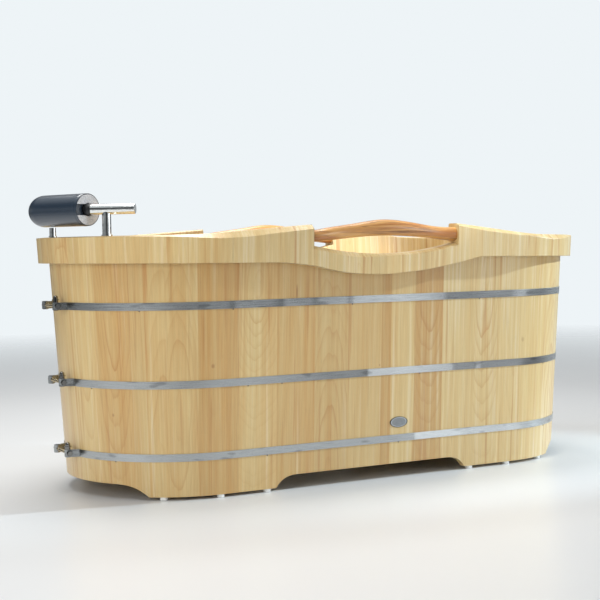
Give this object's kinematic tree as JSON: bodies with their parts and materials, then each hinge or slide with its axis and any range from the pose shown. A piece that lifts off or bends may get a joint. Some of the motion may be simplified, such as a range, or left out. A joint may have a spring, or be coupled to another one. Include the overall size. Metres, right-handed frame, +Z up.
{
  "type": "wooden bathtub",
  "caption": "Free-standing oval wooden bathtub of upright staves in steel hoops, with carved side handles, a swing-in headrest roll and a floor waste.",
  "frame": {"origin": "centre of the whole object's plan, on the floor under the glides", "axes": "+Z up, +X along the tub towards the foot end, -Y towards the side that faces the viewer"},
  "size_m": [1.5524, 0.6866, 0.718],
  "materials": {
    "stave": "satin lacquered rubberwood, upright grain",
    "rim": "satin lacquered rubberwood blocks, upright grain",
    "handle": "darker oiled branch-like bar with streaked grain",
    "floor": "satin lacquered planks",
    "batten": "plain sawn wood",
    "band": "brushed stainless band with wavy reflections",
    "bolt": "polished dark steel",
    "chrome": "mirror chrome",
    "pad": "smooth navy-black moulded foam skin",
    "core": "black plastic",
    "disc": "silver end plate with fine sparkle",
    "glide": "white plastic",
    "plate": "brushed blank oval plate with a bright border"
  },
  "bodies": {
    "tub": {"stave_near_1": "stave", "stave_near_2": "stave", "stave_near_3": "stave", "stave_near_4": "stave", "stave_near_5": "stave", "stave_near_6": "stave", "stave_near_7": "stave", "stave_near_8": "stave", "stave_far_1": "stave", "stave_far_2": "stave", "stave_far_3": "stave", "stave_far_4": "stave", "stave_far_5": "stave", "stave_far_6": "stave", "stave_far_7": "stave", "stave_far_8": "stave", "stave_head_1": "stave", "stave_head_2": "stave", "stave_head_3": "stave", "stave_head_4": "stave", "stave_head_5": "stave", "stave_head_6": "stave", "stave_head_7": "stave", "stave_head_8": "stave", "stave_foot_1": "stave", "stave_foot_2": "stave", "stave_foot_3": "stave", "stave_foot_4": "stave", "stave_foot_5": "stave", "stave_foot_6": "stave", "stave_foot_7": "stave", "stave_foot_8": "stave", "rim_near": "rim", "rim_far": "rim", "rim_head": "rim", "rim_foot": "rim", "handle_near": "handle", "handle_far": "handle", "floor_planks": "floor", "floor_battens": "batten", "hoop_upper": "band", "hoop_middle": "band", "hoop_lower": "band", "tension_barrels": "bolt", "glides": "glide", "oval_plate": "plate", "post_socket": "chrome", "roll_peg": "chrome", "waste_outlet": "chrome", "waste_nut": "core"},
    "headrest_arm": {"arm_post": "chrome", "arm_bar": "chrome", "arm_elbow": "core"},
    "roll": {"roll_core": "core", "roll_pad": "pad", "roll_disc": "disc"},
    "plug": {"drain_plug": "chrome"},
    "bolt_upper": {"tension_bolt_upper": "bolt"},
    "bolt_middle": {"tension_bolt_middle": "bolt"},
    "bolt_lower": {"tension_bolt_lower": "bolt"}
  },
  "joints": [
    {"name": "headrest_swing", "type": "hinge", "parent": "tub", "child": "headrest_arm", "pos_m": [-0.64555, -0.18699, 0.618], "axis": [0, 0, 1], "range_deg": [-90, 0]},
    {"name": "roll_turn", "type": "hinge", "parent": "headrest_arm", "child": "roll", "pos_m": [-0.71148, -0.09028, 0.679], "axis": [-0.4047, 0.9145, 0], "continuous": true},
    {"name": "drain_plug_lift", "type": "slide", "parent": "tub", "child": "plug", "axis": [0, 0, 1], "range_m": [0, 0.01]},
    {"name": "tension_bolt_upper_turn", "type": "hinge", "parent": "tub", "child": "bolt_upper", "pos_m": [-0.72277, 0.00568, 0.4535], "axis": [-0.0175, -0.9998, 0], "continuous": true},
    {"name": "tension_bolt_middle_turn", "type": "hinge", "parent": "tub", "child": "bolt_middle", "pos_m": [-0.71205, 0.00549, 0.2711], "axis": [-0.0175, -0.9998, 0], "continuous": true},
    {"name": "tension_bolt_lower_turn", "type": "hinge", "parent": "tub", "child": "bolt_lower", "pos_m": [-0.70203, 0.00532, 0.1006], "axis": [-0.0175, -0.9998, 0], "continuous": true}
  ]
}
